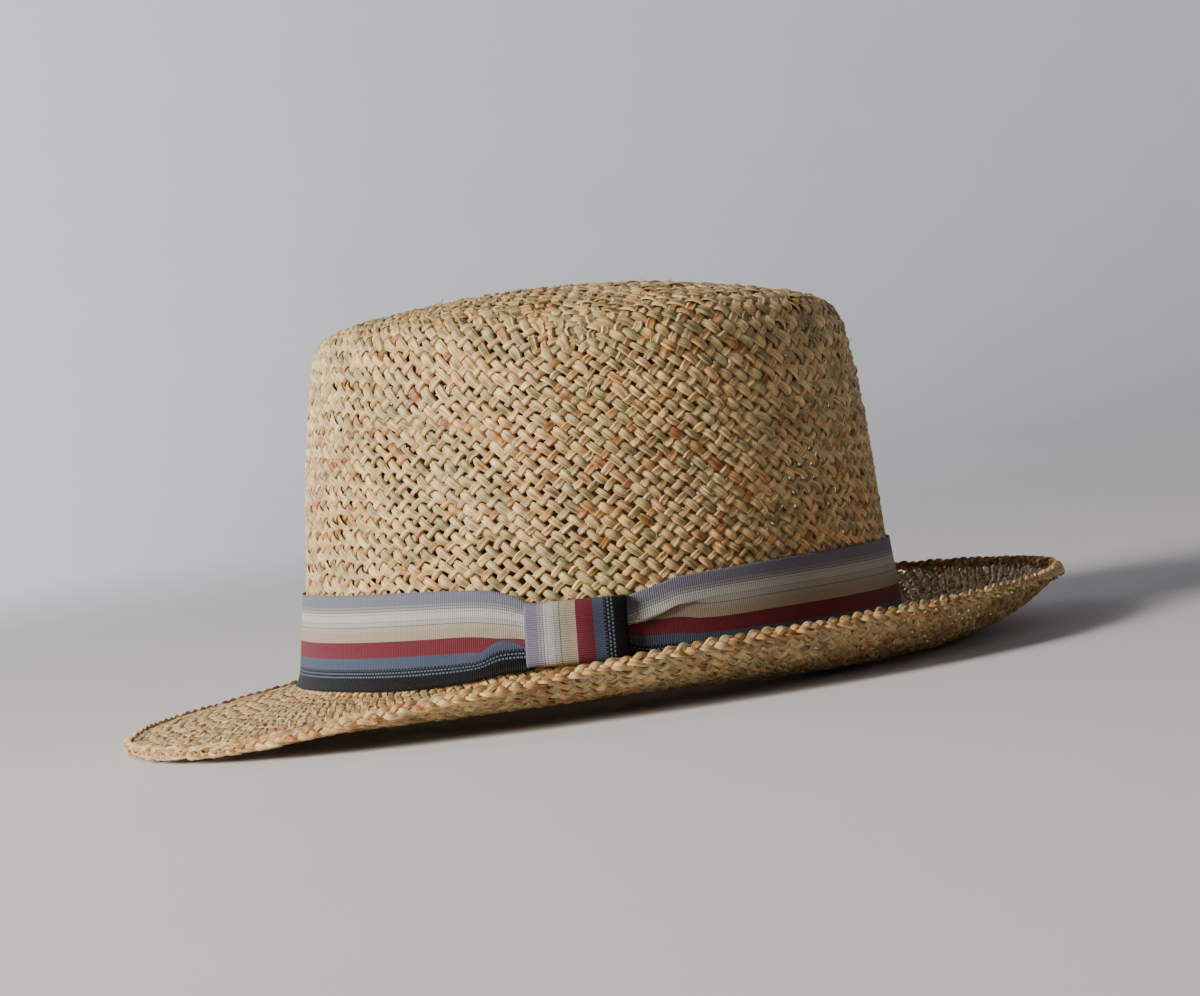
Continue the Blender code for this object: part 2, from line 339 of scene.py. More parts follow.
def crown_net():
    """The crossings of the crown's weave as spots, and its strands as lists of (crossing, 1 over or -1 under).

    On top the strands run square to each other at half-whole places x and y. A crossing on the ring
    m = |x| + |y| lies m / TOP_STRANDS of the way to the top's edge, at the share |y| / m or |x| / m of its quarter.
    Down the side each row is turned half a step, and one strand goes forwards and one backwards from each crossing.
    """
    size = TOP_STRANDS
    place = np.arange(-size, size) + 0.5
    x, y = np.meshgrid(place, place, indexing="ij")
    ring = np.abs(x) + np.abs(y)
    quarter = np.where(y > 0, np.where(x > 0, 0, 1), np.where(x > 0, 3, 2))
    share = np.where(quarter % 2 == 0, np.abs(y), np.abs(x)) / ring
    top = spot_at(math.pi / 2 * (quarter + share), TOP_WAY * ring / size)
    rows = np.arange(1, SIDE_ROWS + 1)[:, None]
    step = np.arange(ROUND_CROWN)[None, :]
    side = spot_at(2 * math.pi * (step + 0.5 + rows / 2) / ROUND_CROWN, TOP_WAY + SIDE_STEP * rows + 0 * step)
    spots = np.concatenate([top.reshape(-1, 2), side.reshape(-1, 2)])
    start = np.floor(quarter * size + np.where(quarter % 2 == 0, np.abs(y), np.abs(x))).astype(int)
    forwards = x * y > 0
    strands = [[], []]
    for family in (0, 1):
        for lane in range(2 * size):
            reach = int(round(size - abs(place[lane])))
            inner = np.arange(size - reach - 1, size + reach + 1)
            inner = inner[ring[lane, inner] <= size] if family == 0 else inner[ring[inner, lane] <= size]
            at = (np.full_like(inner, lane), inner) if family == 0 else (inner, np.full_like(inner, lane))
            over = np.where((at[0] + at[1]) % 2 == 0, 1, -1) * (1 if family == 0 else -1)
            ends = []
            for end in (0, -1):
                ahead = bool(forwards[at[0][end], at[1][end]]) == (family == 0)
                ends.append(side_run(start[at[0][end], at[1][end]], ahead))
            crossings = np.concatenate([ends[0][0][::-1], at[0] * 2 * size + at[1], ends[1][0]])
            strands[family].append((crossings, np.concatenate([ends[0][1][::-1], over, ends[1][1]])))
    return spots, strands


def side_run(start, ahead):
    """The crossings that a strand passes down the side from a place on the top's last ring, and which it goes over."""
    rows = np.arange(1, SIDE_ROWS + 1)
    step = (start - (0 if ahead else 1) * rows) % ROUND_CROWN
    over = np.where((TOP_STRANDS - 1 + rows) % 2 == 0, 1, -1) * (1 if ahead else -1)
    return 4 * TOP_STRANDS**2 + (rows - 1) * ROUND_CROWN + step, over


def brim_net():
    """The crossings of the brim's weave as spots, row by row from under the ribbon to the edge, and its strands."""
    rows = np.arange(BRIM_ROWS)
    step = np.arange(ROUND_BRIM)
    first = ROOT_WAY - BRIM_WEAVE_START
    out = (ROOT_WAY + BRIM_WIDTH - BRIM_MARGIN - first) / (BRIM_ROWS - 1)
    angle = 2 * math.pi * (step[None, :] + 0.5 + rows[:, None] / 2) / ROUND_BRIM
    spots = spot_at(angle, first + out * rows[:, None] + 0 * step[None, :]).reshape(-1, 2)
    over = np.where(rows % 2 == 0, 1, -1)
    ahead = [(rows * ROUND_BRIM + start, over) for start in step]
    back = [(rows * ROUND_BRIM + (start - rows) % ROUND_BRIM, -over) for start in step]
    return spots, [ahead, back]


def pull_even(spots, strands, moved, length, turns):
    """Each moved crossing is pulled and pushed along both its strands until its neighbours lie one length away,
    and a little towards their middle, as the strands of a weave slide and shear over a rounded top."""
    pairs = np.concatenate([np.stack([c[:-1], c[1:]], axis=1) for family in strands for c, _ in family])
    pairs = np.concatenate([pairs, pairs[:, ::-1]])
    pairs = pairs[moved[pairs[:, 0]]]
    count = np.maximum(np.bincount(pairs[:, 0], minlength=len(spots)), 1)[:, None]
    for turn in range(turns):
        points = face(spots)
        apart = np.linalg.norm(points[pairs[:, 1]] - points[pairs[:, 0]], axis=1)
        middling = 1.0 if turn < turns / 3 else 0.12
        pull = (middling + (1 - middling) * (1 - length / apart))[:, None] * (spots[pairs[:, 1]] - spots[pairs[:, 0]])
        total = np.zeros_like(spots)
        np.add.at(total, pairs[:, 0], pull)
        spots = spots + 0.6 * total / count
    return spots


def unsettled(spots, amount, sway, count):
    """Spots moved by chance: an amount of each crossing's own, and a slow sway that closes and opens the weave."""
    own = CHANCE.normal(size=spots.shape) * amount
    waves = CHANCE.normal(size=(count, 2)) * 2 * math.pi / SWAY_LENGTH
    turns = CHANCE.uniform(0, 2 * math.pi, (count, 2))
    phase = spots @ waves.T
    slow = np.stack([np.sin(phase + turns[:, 0]).sum(axis=1), np.sin(phase + turns[:, 1]).sum(axis=1)], axis=1)
    return spots + own + slow * sway / math.sqrt(count)


def drawn_close(spots, share):
    """Crossings moved so that the strands that go backwards as they go down lie closer by a share on the knot's side
    and further apart on the other. Such a strand keeps its phase p = angle - s, where s is the way down in rows times
    half a step, so its crossings move by d = share / 2 times sin(p - p0), against the angle and down the way."""
    angle = np.arctan2(spots[:, 0], -spots[:, 1])
    way = np.hypot(spots[:, 0], spots[:, 1])
    turn = math.pi / ROUND_CROWN / SIDE_STEP
    middle = math.radians(CLOSE_ANGLE) - (ROOT_WAY - TOP_WAY) / 2 * turn
    fade = np.clip((way - 0.02) / 0.07, 0, 1)
    moved = share / 2 * np.sin(angle - (way - TOP_WAY) * turn - middle) * fade**2 * (3 - 2 * fade)
    return spot_at(angle - moved, way + moved / turn)


def room_beside(spots, families):
    """How far the strands beside it lie from each crossing of each strand: the way along the strand that it crosses
    there."""
    points = face(spots)
    whole, links = np.zeros(len(spots)), np.zeros(len(spots))
    own = []
    for strands in families:
        crossing = np.concatenate([c for c, _ in strands])
        apart = np.linalg.norm(points[crossing[1:]] - points[crossing[:-1]], axis=1)
        linked = np.ones(len(apart))
        linked[np.cumsum([len(c) for c, _ in strands])[:-1] - 1] = 0
        way = np.append(apart * linked, 0) + np.append(0, apart * linked)
        number = np.append(linked, 0) + np.append(0, linked)
        np.add.at(whole, crossing, way)
        np.add.at(links, crossing, number)
        own.append((crossing, way, number))
    rooms = [(whole[crossing] - way) / np.maximum(links[crossing] - number, 1) for crossing, way, number in own]
    return [np.clip(room, *ROOM_LIMITS) for room in rooms]


def parted(spots, centre, push, radius):
    """Crossings pushed away from a place to open a hole, by push times d / radius times exp(-(d / radius) squared)
    where d is how far away they lie."""
    away = spots - centre
    near = np.exp(-(away**2).sum(axis=1) / radius**2)[:, None]
    return spots + push * away / radius * near


def mesh_piece(name, points, corners, sizes, material, uv=None, floats=None):
    """A piece from arrays: its points, the faces' corners in one row, the number of corners of each face, the place
    of each corner on its UV map, and numbers kept at its points."""
    mesh = bpy.data.meshes.new(name)
    mesh.vertices.add(len(points))
    mesh.vertices.foreach_set("co", np.ascontiguousarray(points, np.float32).ravel())
    mesh.loops.add(len(corners))
    mesh.loops.foreach_set("vertex_index", np.ascontiguousarray(corners, np.int32))
    mesh.polygons.add(len(sizes))
    mesh.polygons.foreach_set("loop_start", np.append(0, np.cumsum(sizes)[:-1]).astype(np.int32))
    mesh.update(calc_edges=True)
    if uv is not None:
        layer = mesh.uv_layers.new(name="cloth")
        layer.data.foreach_set("uv", np.ascontiguousarray(uv, np.float32).ravel())
    for title, values in (floats or {}).items():
        mesh.attributes.new(title, "FLOAT", "POINT").data.foreach_set("value", np.ascontiguousarray(values, np.float32))
    mesh.shade_smooth()
    mesh.materials.append(material)
    piece = bpy.data.objects.new(name, mesh)
    bpy.context.scene.collection.objects.link(piece)
    return piece


def between(a, b, c, d, t):
    """A cubic curve from b to c that passes on from a and towards d, at the share t."""
    return 0.5 * (2 * b + (c - a) * t + (2 * a - 5 * b + 4 * c - d) * t**2 + (3 * b - a - 3 * c + d) * t**3)


def tube_faces(rings, sides, lengths):
    """The faces of tubes laid end to end in one array of rings: four-cornered walls, and a flat cap at each end."""
    last = np.cumsum(lengths) - 1
    ring = np.setdiff1d(np.arange(rings), last)
    side = np.arange(sides)
    here = ring[:, None] * sides + side[None, :]
    beside = ring[:, None] * sides + (side[None, :] + 1) % sides
    walls = np.stack([here, beside, beside + sides, here + sides], axis=-1)
    starts = (last - lengths + 1)[:, None] * sides + side[None, ::-1]
    ends = last[:, None] * sides + side[None, :]
    return ring, walls, np.concatenate([starts, ends])


def straw_tubes(name, middle, normal, wide, thick, turned, crease, section, lengths, tone, lot, material):
    """Straws laid end to end in one array of rings, as flattened tubes: the section lies across the straw and square
    to the surface it follows, turned by a small angle of its own, and its crown is lowered by a crease."""
    rings = np.arange(len(middle))
    first = np.repeat(np.cumsum(lengths) - lengths, lengths)
    last = np.repeat(np.cumsum(lengths) - 1, lengths)
    along = unit(middle[np.minimum(rings + 1, last)] - middle[np.maximum(rings - 1, first)])
    sideways = unit(np.cross(normal, along))
    upright = np.cross(along, sideways)
    section = np.array(section)
    sides = len(section)
    crown_point = np.eye(sides)[2]
    flat, high = wide[:, None] * section[:, 0], thick[:, None] * (section[:, 1] - crease[:, None] * crown_point)
    level = flat * np.cos(turned)[:, None] - high * np.sin(turned)[:, None]
    rise = flat * np.sin(turned)[:, None] + high * np.cos(turned)[:, None]
    points = middle[:, None, :] + sideways[:, None, :] * level[..., None] + upright[:, None, :] * rise[..., None]
    walked = np.append(0, np.cumsum(np.linalg.norm(np.diff(middle, axis=0), axis=1)))
    walked -= walked[first]
    ring, walls, caps = tube_faces(len(middle), sides, lengths)
    corners = np.concatenate([walls.ravel(), caps.ravel()])
    sizes = np.concatenate([np.full(walls.size // 4, 4), np.full(len(caps), sides)])
    side = np.arange(sides)
    low, high = walked[ring][:, None] + 0 * side, walked[ring + 1][:, None] + 0 * side
    near, far = side / sides + 0 * low, (side + 1) / sides + 0 * low
    wall_uv = np.stack([near, low, far, low, far, high, near, high], axis=-1)
    uv = np.concatenate([wall_uv.reshape(-1, 2), np.zeros((caps.size, 2))])
    floats = {"tone": np.repeat(tone, sides), "lot": np.repeat(lot, sides)}
    piece = mesh_piece(name, set_down(points).reshape(-1, 3), corners, sizes, material, uv, floats)
    # Split straw bends sharply at its two shoulders and its two rims
    ends = np.empty(2 * len(piece.data.edges), np.int32)
    piece.data.edges.foreach_get("vertices", ends)
    at = ends.reshape(-1, 2) % sides
    sharp = (at[:, 0] == at[:, 1]) & (np.abs(section[at[:, 0], 0]) > 0.305)
    piece.data.attributes.new("sharp_edge", "BOOLEAN", "EDGE").data.foreach_set("value", sharp)
    return piece


def strand_piece(name, spots, strands, room, share, phases, section, material):
    """Woven straw: the middle of a strand follows its crossings on the hood's middle surface, raised or lowered at each
    by about half the straw's thickness, and the straw is wider and flatter where it comes over."""
    lengths = np.array([len(c) for c, _ in strands])
    crossing = np.concatenate([c for c, _ in strands])
    over = np.concatenate([o for _, o in strands])
    first = np.repeat(np.cumsum(lengths) - lengths, lengths)
    last = np.repeat(np.cumsum(lengths) - 1, lengths)
    index = np.arange(len(crossing))
    near = [spots[crossing[np.clip(index + shift, first, last)]] for shift in (-2, -1, 0, 1, 2)]
    path, raised = [], []
    for phase in phases:
        if phase < 0:
            path.append(between(near[0], near[1], near[2], near[3], 1 + phase))
        else:
            path.append(between(near[1], near[2], near[3], near[4], phase))
        raised.append(over * math.cos(math.pi * phase) ** 0.5)
    path = np.stack(path, axis=1).reshape(-1, 2)
    raised = np.stack(raised, axis=1).ravel()
    each = len(phases)
    lengths = lengths * each
    strand = np.repeat(np.arange(len(strands)), lengths)
    rings = np.arange(len(path))
    first = np.repeat(np.cumsum(lengths) - lengths, lengths)
    last = np.repeat(np.cumsum(lengths) - 1, lengths)
    # How far a strand leans backwards round the crown as it goes down: 1 across the rows one way, -1 the other way
    steer = unit(path[np.minimum(rings + 1, last)] - path[np.maximum(rings - 1, first)])
    radial = unit(path)
    lean = 2 * (steer * radial).sum(axis=1) * (steer[:, 1] * radial[:, 0] - steer[:, 0] * radial[:, 1])
    chance = CHANCE.uniform(size=(len(strands), 5))
    own = np.repeat(CHANCE.normal(size=(5, len(crossing))), each, axis=1)
    normal = face_normal(path)
    lift = raised * WEAVE_STEP * (1 + 0.12 * own[3]) + 0.00013 * lean - STRAW / 2
    middle = face(path) + normal * lift[:, None]
    way = rings - first
    slow = np.sin(way / each / 1.7 + 7 * chance[strand, 0]) + np.sin(way / each / 0.8 + 7 * chance[strand, 1])
    pressed = np.where(raised > 0.9, 1.07, np.where(raised > 0, 0.98, 0.86))
    filled = np.interp(np.hypot(path[:, 0], path[:, 1]), [TOP_WAY, ROOT_WAY], share)
    wide = np.repeat(room, each) * (filled + 0.14 * lean) * pressed
    wide *= 0.88 + 0.24 * chance[strand, 2] + 0.045 * slow + 0.07 * own[0]
    thick = STRAND_THICKNESS * (0.88 + 0.2 * chance[strand, 3])
    turned = 0.2 * own[1] + 0.1 * slow
    crease = 0.1 + 0.16 * own[4] + 0.05 * slow
    tone = np.clip(0.47 + 0.42 * (chance[strand, 4] - 0.5) + 0.06 * slow - 0.07 * lean + 0.18 * own[2], 0, 1)
    lot = CHANCE.uniform(size=len(strands))[strand]
    return straw_tubes(
        name, middle, normal, wide, thick, turned, crease, section, lengths, tone, lot, material
    )


def stray_piece(material):
    """Loose fibres that stand off the weave: each starts on it, bends as t squared and lifts as t squared."""
    count, each = STRAY_FIBRES, 7
    t = np.linspace(0, 1, each)[None, :]
    angle = CHANCE.uniform(0, 2 * math.pi, count)
    way = CHANCE.uniform(0.03, ROOT_WAY + 0.013, count)
    # None starts under the ribbon
    way = np.where(way > ROOT_WAY - 0.040, way + 0.043, way)
    heading = CHANCE.uniform(0, 2 * math.pi, count)
    reach = CHANCE.uniform(0.004, 0.010, count)[:, None] * t
    bend = CHANCE.normal(size=count)[:, None] * 0.0018 * t**2
    ahead = np.stack([np.cos(heading), np.sin(heading)], axis=-1)[:, None, :]
    aside = ahead[..., ::-1] * np.array([-1, 1])
    path = (spot_at(angle, way)[:, None, :] + ahead * reach[..., None] + aside * bend[..., None]).reshape(-1, 2)
    normal = face_normal(path)
    rise = (-0.0004 + CHANCE.uniform(0.0008, 0.0026, count)[:, None] * t**2).ravel()
    middle = face(path) + normal * rise[:, None]
    wide = (CHANCE.uniform(0.0003, 0.00055, count)[:, None] * (1 - 0.5 * t)).ravel()
    tone = np.repeat(CHANCE.uniform(0.3, 0.8, count), each)
    lot = np.repeat(CHANCE.uniform(size=count), each)
    lengths, thick, still = np.full(count, each), wide * 0.6, np.zeros(len(path))
    return straw_tubes(
        "stray_fibres", middle, normal, wide, thick, still, still, SPLIT_STRAW, lengths, tone, lot, material
    )


def plait_piece(material):
    """The edge as a plait of three strands round the brim. Strand k sways up and down as sin q and in and out as
    sin 2 q, with q = p + 120 k degrees, while p turns PLAIT_TURNS times round the hat. Each strand is split straw
    whose flat face looks outwards, a little narrower where it crosses the middle and where it turns back."""
    per_turn = 18
    count = PLAIT_TURNS * per_turn + 1
    angle_fine = np.linspace(0, 2 * math.pi, 2001)
    rim = brim(angle_fine, np.ones_like(angle_fine))
    walked = np.append(0, np.cumsum(np.linalg.norm(np.diff(rim, axis=0), axis=1)))
    angle = np.interp(np.linspace(0, walked[-1], count), walked, angle_fine)
    edge = np.ones_like(angle)
    rim = brim(angle, edge)
    slope = unit(rim - brim(angle, 0.96 * edge))
    along = unit(brim(angle + 0.002, edge) - brim(angle - 0.002, edge))
    normal = unit(np.cross(slope, along))
    centre = rim + slope * (CLEARANCE + EDGE_DIAMETER / 2 - 0.0004) - normal * STRAW / 2
    phase = 2 * math.pi * np.arange(count) / per_turn
    element = np.linspace(0, phase[-1], 3 * PLAIT_TURNS + 1)
    chance = CHANCE.normal(size=(6, 3, 3 * PLAIT_TURNS + 1))
    chance[..., -1] = chance[..., 0]
    runs = []
    for strand in range(3):
        own = phase + 2 * math.pi * strand / 3
        up_by, out_by, width_by, tone_by, turn_by, crease_by = (np.interp(phase, element, c[strand]) for c in chance)
        up = 0.00128 * np.sin(own) + 0.00018 * up_by
        out = 0.00082 * np.sin(2 * own) + 0.00016 * out_by
        wide = 0.0026 * (1 - 0.12 * np.cos(4 * own) + 0.1 * width_by)
        middle = centre + normal * up[:, None] + slope * out[:, None]
        runs.append((middle, wide, 0.3 * turn_by, 0.16 + 0.12 * crease_by, np.clip(0.67 + 0.2 * tone_by, 0, 1)))
    middle, wide, turned, crease, tone = (np.concatenate(parts) for parts in zip(*runs))
    lot = np.repeat([0.2, 0.5, 0.8], count)
    outwards, thick = np.tile(slope, (3, 1)), np.full(len(middle), 0.00112)
    lengths = np.full(3, count)
    return straw_tubes(
        "edge_plait", middle, outwards, wide, thick, turned, crease, SPLIT_STRAW, lengths, tone, lot, material
    )


def grid_piece(name, points, uv, material, closed):
    """A sheet from a grid of points, columns by rows, that may close on itself along its columns."""
    columns, rows = points.shape[:2]
    if closed:
        points = points[:-1]
    here = np.arange(columns - 1)[:, None] * rows + np.arange(rows - 1)
    onto = ((np.arange(columns - 1) + 1) % (columns - 1 if closed else columns))[:, None] * rows + np.arange(rows - 1)
    corners = np.stack([here, onto, onto + 1, here + 1], axis=-1).reshape(-1)
    flat = uv.reshape(-1, 2)
    uv_at = np.stack([here, here + rows, here + rows + 1, here + 1], axis=-1).reshape(-1)
    return mesh_piece(name, points.reshape(-1, 3), corners, np.full(len(corners) // 4, 4), material, flat[uv_at])


def ribbon_shape(angle, across):
    """The ribbon's outer face and the cloth's own measure, 0 at its foot and 1 at its head.

    Seen from the side the cloth goes up from its foot to the fold, back under it, and on to its head: ahead of the
    knot the lower panel lies over the upper one, and behind the knot the upper one lies over the lower."""
    turn = np.angle(np.exp(1j * (angle - math.radians(KNOT_ANGLE))))
    distance = (np.abs(turn) * CROWN_LENGTH / 2 * 0.955 - KNOT_WIDTH / 2) / MM
    sides = []
    for table in (np.array(RIBBON_AHEAD), np.array(RIBBON_BEHIND)):
        sides.append([smooth(table[:, 0], table[:, column], distance) for column in range(1, 8)])
    ahead = turn < 0
    foot, fold, head, under, stand, below, above = (np.where(ahead, a, b) for a, b in zip(*sides))
    folded = np.clip(under / 0.8, 0, 1)
    open_gap = 0.25 * (1 - folded)
    lower_top = fold - open_gap + np.where(ahead, 0, under * folded)
    upper_foot = fold + open_gap - np.where(ahead, under * folded, 0)
    cloth_low = below + np.where(ahead, 0.1 * folded, under * folded)
    cloth_high = above - np.where(ahead, under * folded, 0)
    marks = np.array([0.0, 0.42, 0.52, 1.0])
    height, cloth, out = (np.zeros(np.broadcast(angle, across).shape) for _ in range(3))
    heights = [foot, lower_top, upper_foot, head]
    cloths = [np.zeros_like(foot), cloth_low, cloth_high, np.full_like(foot, RIBBON_WIDTH / MM)]
    outs = [np.zeros_like(foot), np.where(ahead, stand, 0), np.where(ahead, 0, stand), np.zeros_like(foot)]
    for part in range(3):
        share = np.clip((across - marks[part]) / (marks[part + 1] - marks[part]), 0, 1)
        inside = (across >= marks[part]) & (across <= marks[part + 1])
        height = np.where(inside, heights[part] + (heights[part + 1] - heights[part]) * share, height)
        cloth = np.where(inside, cloths[part] + (cloths[part + 1] - cloths[part]) * share, cloth)
        eased = share**2 if part == 0 else (1 - (1 - share) ** 2 if part == 2 else share)
        out = np.where(inside, outs[part] + (outs[part + 1] - outs[part]) * eased, out)
    # Beside the knot the cloth bulges and ripples, less and less to 34 mm away, and it fills the knot
    near = np.clip(1 - distance / 34, 0, 1) ** 1.3
    swell = 1.6 * np.exp(-((np.maximum(distance, -2) + 2) ** 2) / 16)
    puff = (0.9 * near + swell * np.sin(math.pi * across) ** 0.4) * np.sin(math.pi * across)
    puff = puff + 0.28 * near * np.sin(2 * math.pi * (height / 4.3 + distance / 31))
    spread = CLEARANCE + RIBBON_THICKNESS + (1.4 * out + np.maximum(puff, 0)) * MM
    point = crown_wall(angle + 0 * across, height * MM) + outward(angle + 0 * across) * spread[..., None]
    return point, cloth * MM / RIBBON_WIDTH


def ribbon_piece(material):
    """The ribbon round the crown: finely divided by the knot, and its wall made inwards."""
    turn = np.linspace(-math.pi, math.pi, 521)
    turn = math.pi * np.sign(turn) * (0.3 * np.abs(turn / math.pi) + 0.7 * np.abs(turn / math.pi) ** 2.2)
    angle = (math.radians(KNOT_ANGLE) + turn)[:, None]
    across = np.concatenate(
        [np.linspace(0, 0.42, 10), np.linspace(0.42, 0.52, 5)[1:-1], np.linspace(0.52, 1, 12)]
    )[None, :]
    points, cloth = ribbon_shape(angle, across)
    around = np.linalg.norm(np.diff(points[:, 6], axis=0), axis=1)
    along = np.append(0, np.cumsum(around))[:, None] + 0 * across
    piece = grid_piece("striped_ribbon", set_down(points), np.stack([along, cloth], axis=-1), material, True)
    wall = piece.modifiers.new("Cloth", "SOLIDIFY")
    wall.thickness = 0.00022
    wall.offset = -1
    return piece


def knot_piece(material):
    """The knot: the ribbon bent once over the gathered one. Its outer face goes from the wall below, out along a
    rounded box and back to the wall above, and its stripes run upright."""
    columns, rows = 41, 61
    side = np.linspace(-1, 1, columns)[:, None]
    turn = math.pi * (np.linspace(0, 1, rows) - 0.5)[None, :]
    upright = np.sign(turn) * np.abs(np.sin(turn)) ** KNOT_BOXINESS
    height = KNOT_MIDDLE + KNOT_RISE + KNOT_HALF_HEIGHT * upright + 0 * side
    depth = KNOT_DEPTH * (1 - KNOT_ROUNDING * side**4) + 0.00018 * np.sin(9 * side) * np.cos(turn)
    stand = CLEARANCE + KNOT_WALL * np.abs(np.sin(turn)) + depth * np.clip(np.cos(turn), 0, 1) ** KNOT_BOXINESS
    reach = CROWN_LENGTH / 2 * wall_reach(KNOT_MIDDLE)
    angle = math.radians(KNOT_ANGLE) + KNOT_HALF_WIDTH * side / reach + 0 * turn
    points = crown_wall(angle, height) + outward(angle) * stand[..., None]
    walked = np.append(0, np.cumsum(np.linalg.norm(np.diff(points[columns // 2], axis=0), axis=1)))[None, :] + 0 * side
    uv = np.stack([walked, (1 - side) / 2 + 0 * walked], axis=-1)
    piece = grid_piece("ribbon_loop", set_down(points), uv, material, False)
    wall = piece.modifiers.new("Cloth", "SOLIDIFY")
    wall.thickness = 0.0008
    wall.offset = -1
    return piece


def linear(code):
    """A colour from its sRGB hex value: each part is undone from its gamma."""
    parts = [int(code[i : i + 2], 16) / 255 for i in (0, 2, 4)]
    return (*[p / 12.92 if p <= 0.04045 else ((p + 0.055) / 1.055) ** 2.4 for p in parts], 1.0)


def add(tree, kind, sockets=None, ramp=None, **settings):
    """A node of a kind, with its settings, its inputs set to values or linked from other nodes' outputs, and its
    ramp."""
    made = tree.nodes.new(kind)
    for name, value in settings.items():
        setattr(made, name, value)
    for name, value in (sockets or {}).items():
        if isinstance(value, bpy.types.NodeSocket):
            tree.links.new(value, made.inputs[name])
        else:
            made.inputs[name].default_value = value
    for place, (position, colour) in enumerate(ramp or ()):
        stops = made.color_ramp.elements
        stop = stops[place] if place < 2 else stops.new(position)
        stop.position = position
        stop.color = colour
    return made


def new_material(name):
    """A material with an empty tree but for its Principled shader: the material, its tree and the shader."""
    material = bpy.data.materials.new(name)
    material.use_nodes = True
    tree = material.node_tree
    return material, tree, tree.nodes["Principled BSDF"]


def straw_material(name, brightness):
    """Dried seagrass blades, twisted and woven by hand: matte with a thin natural gloss, greenish straw through pale
    tan to orange brown from blade to blade, with fine ribs along each blade."""
    material, tree, shader = new_material(name)
    tone = add(tree, "ShaderNodeAttribute", attribute_name="tone").outputs["Fac"]
    lot = add(tree, "ShaderNodeAttribute", attribute_name="lot").outputs["Fac"]
    hues = add(
        tree,
        "ShaderNodeValToRGB",
        {"Fac": tone},
        [
            (0.0, linear("a49364")),
            (0.2, linear("c1ae7b")),
            (0.4, linear("dabd86")),
            (0.58, linear("e6c087")),
            (0.76, linear("d7a66a")),
            (1.0, linear("a8703f")),
        ],
    )
    place = add(tree, "ShaderNodeUVMap", uv_map="cloth").outputs["UV"]
    apart = add(tree, "ShaderNodeSeparateXYZ", {"Vector": place})
    # Ribs along a blade are about 0.1 mm apart, drawn 0.8 mm apart so that they show
    round_it = add(tree, "ShaderNodeMath", {0: apart.outputs["X"], 1: 6.0}, operation="MULTIPLY").outputs["Value"]
    down_it = add(tree, "ShaderNodeMath", {0: apart.outputs["Y"], 1: 90.0}, operation="MULTIPLY").outputs["Value"]
    which = add(tree, "ShaderNodeMath", {0: lot, 1: 40.0}, operation="MULTIPLY").outputs["Value"]
    grain_at = add(tree, "ShaderNodeCombineXYZ", {"X": round_it, "Y": down_it, "Z": which}).outputs["Vector"]
    grain = add(
        tree, "ShaderNodeTexNoise", {"Vector": grain_at, "Scale": 1.0, "Detail": 3.0, "Roughness": 0.65}
    ).outputs["Fac"]
    # Growth patches run one to three centimetres along a blade
    patch_at = add(tree, "ShaderNodeCombineXYZ", {"X": which, "Y": down_it, "Z": lot}).outputs["Vector"]
    patch = add(tree, "ShaderNodeTexNoise", {"Vector": patch_at, "Scale": 0.9, "Detail": 2.0}).outputs["Fac"]
    grain_shade = add(
        tree, "ShaderNodeMapRange", {"Value": grain, "From Min": 0.4, "From Max": 0.58, "To Min": 0.5, "To Max": 1.08}
    ).outputs["Result"]
    patch_shade = add(
        tree,
        "ShaderNodeMapRange",
        {"Value": patch, "From Min": 0.35, "From Max": 0.65, "To Min": 0.72, "To Max": 1.12},
    ).outputs["Result"]
    both = add(tree, "ShaderNodeMath", {0: grain_shade, 1: patch_shade}, operation="MULTIPLY").outputs["Value"]
    # A brightness below one darkens the whole straw as painted shade
    shade = add(tree, "ShaderNodeMath", {0: both, 1: brightness}, operation="MULTIPLY").outputs["Value"]
    shaded = add(tree, "ShaderNodeVectorMath", {0: hues.outputs["Color"], "Scale": shade}, operation="SCALE")
    tree.links.new(shaded.outputs["Vector"], shader.inputs["Base Color"])
    rough = add(tree, "ShaderNodeMapRange", {"Value": grain, "To Min": 0.33, "To Max": 0.58}).outputs["Result"]
    tree.links.new(rough, shader.inputs["Roughness"])
    bump = add(tree, "ShaderNodeBump", {"Height": grain, "Strength": 0.8, "Distance": 0.0004})
    tree.links.new(bump.outputs["Normal"], shader.inputs["Normal"])
    shader.inputs["IOR"].default_value = 1.45
    shader.inputs["Specular IOR Level"].default_value = 0.45
    return material


